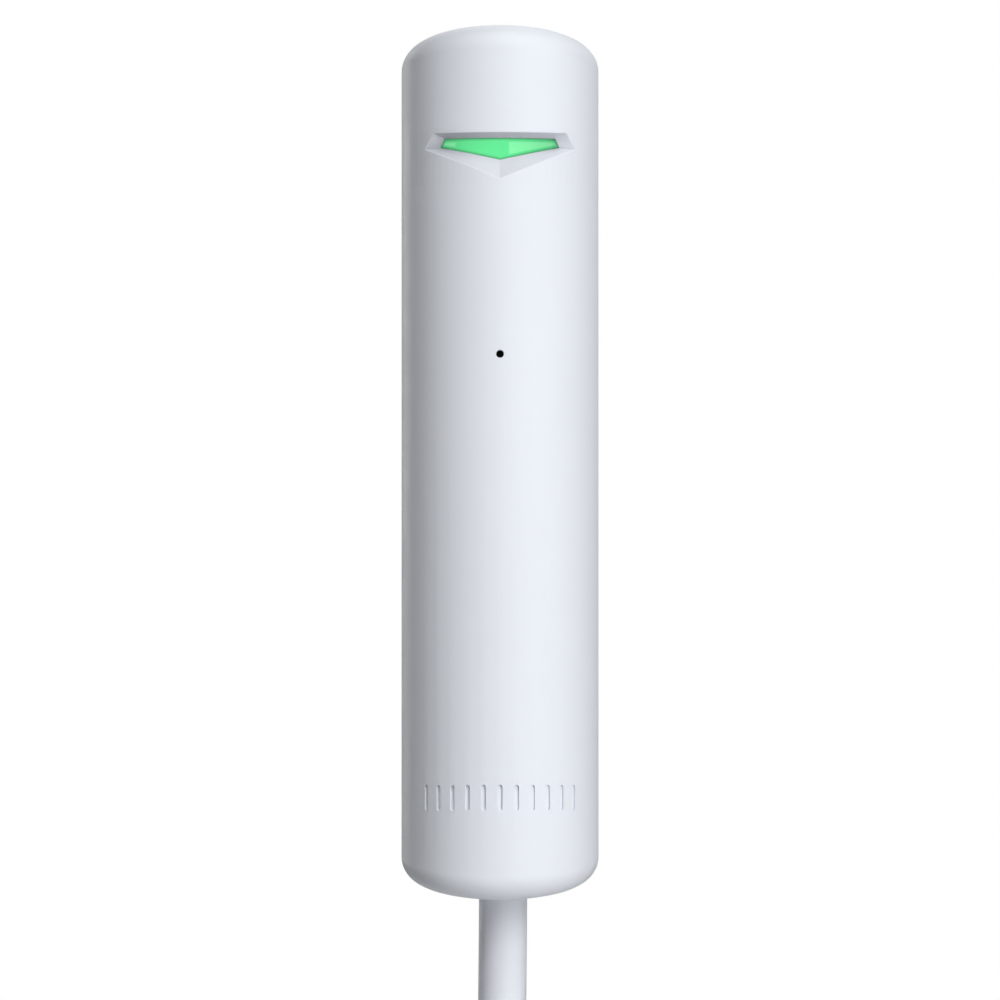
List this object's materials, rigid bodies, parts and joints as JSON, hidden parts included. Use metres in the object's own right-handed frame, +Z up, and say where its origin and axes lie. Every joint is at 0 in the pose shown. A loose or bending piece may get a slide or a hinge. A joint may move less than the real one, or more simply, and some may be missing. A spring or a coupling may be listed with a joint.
{
  "type": "glass break sensor",
  "caption": "Slim upright wired glass break sensor: a round white column with a green light window and a sound hole, hung on a flat wall bracket, with its cable in a tied hank below.",
  "frame": {"origin": "centre of the bracket's wall face, level with the middle of the column's height", "axes": "+Z up along the column, +Y into the wall, +X to the right of someone facing the sensor"},
  "size_m": [0.0544, 0.0209, 0.2503],
  "materials": {
    "housing_white": "satin moulded plastic, cool white",
    "bracket_white": "satin moulded plastic, white",
    "lens_green": "clear green, glossy, lit from behind",
    "board_green": "green solder resist",
    "chip_black": "matt black epoxy",
    "ferrite_grey": "dark grey ferrite",
    "tantalum_yellow": "yellow epoxy",
    "ceramic_tan": "tan ceramic",
    "led_white": "white with a clear top",
    "can_metal": "satin metal can",
    "boot_rubber": "soft black rubber",
    "mesh_black": "fine black dust mesh",
    "terminal_green": "green nylon",
    "plated_steel": "bright plated steel",
    "switch_black": "black nylon",
    "plunger_white": "white acetal",
    "sheath_white": "satin grey-white sheath",
    "tie_nylon": "natural nylon",
    "tie_grey": "dark grey hook-and-loop strip",
    "core_red": "red insulation",
    "core_black": "black insulation",
    "core_green": "green insulation",
    "core_white": "white insulation",
    "copper": "bare copper wire"
  },
  "bodies": {
    "bracket": {"mounting_plate": "bracket_white"},
    "sensor": {"front_housing": "housing_white", "rear_cover": "housing_white", "light_guide": "lens_green", "main_board": "board_green", "microcontroller": "chip_black", "clock_crystal": "can_metal", "power_inductor": "ferrite_grey", "voltage_regulator": "chip_black", "surge_diodes": "chip_black", "tantalum_capacitors": "tantalum_yellow", "mic_amplifier": "chip_black", "line_transceiver": "chip_black", "chip_resistors": "chip_black", "chip_capacitors": "ceramic_tan", "status_leds": "led_white", "mic_capsule": "can_metal", "mic_boot": "boot_rubber", "mic_mesh": "mesh_black", "terminal_block": "terminal_green", "terminal_screws": "plated_steel", "terminal_pins": "plated_steel", "tamper_switch": "switch_black", "cable_tie": "tie_nylon", "cover_screws": "plated_steel", "core_red": "core_red", "core_black": "core_black", "core_green": "core_green", "core_white": "core_white", "cable_sheath": "sheath_white", "cable_hank": "sheath_white", "hank_tie": "tie_grey", "cable_tail": "sheath_white", "tail_core_red": "core_red", "tail_core_black": "core_black", "tail_core_green": "core_green", "tail_core_white": "core_white", "copper_tips": "copper"},
    "tamper": {"tamper_plunger": "plunger_white", "switch_stem": "plunger_white"}
  },
  "joints": [
    {"name": "bracket_slide", "type": "slide", "parent": "bracket", "child": "sensor", "axis": [0, 0, 1], "range_m": [0, 0.004]},
    {"name": "tamper_press", "type": "slide", "parent": "sensor", "child": "tamper", "axis": [0, -1, 0], "range_m": [0, 0.0006], "stiffness_N_per_m": 800, "springref_m": -0.001}
  ]
}
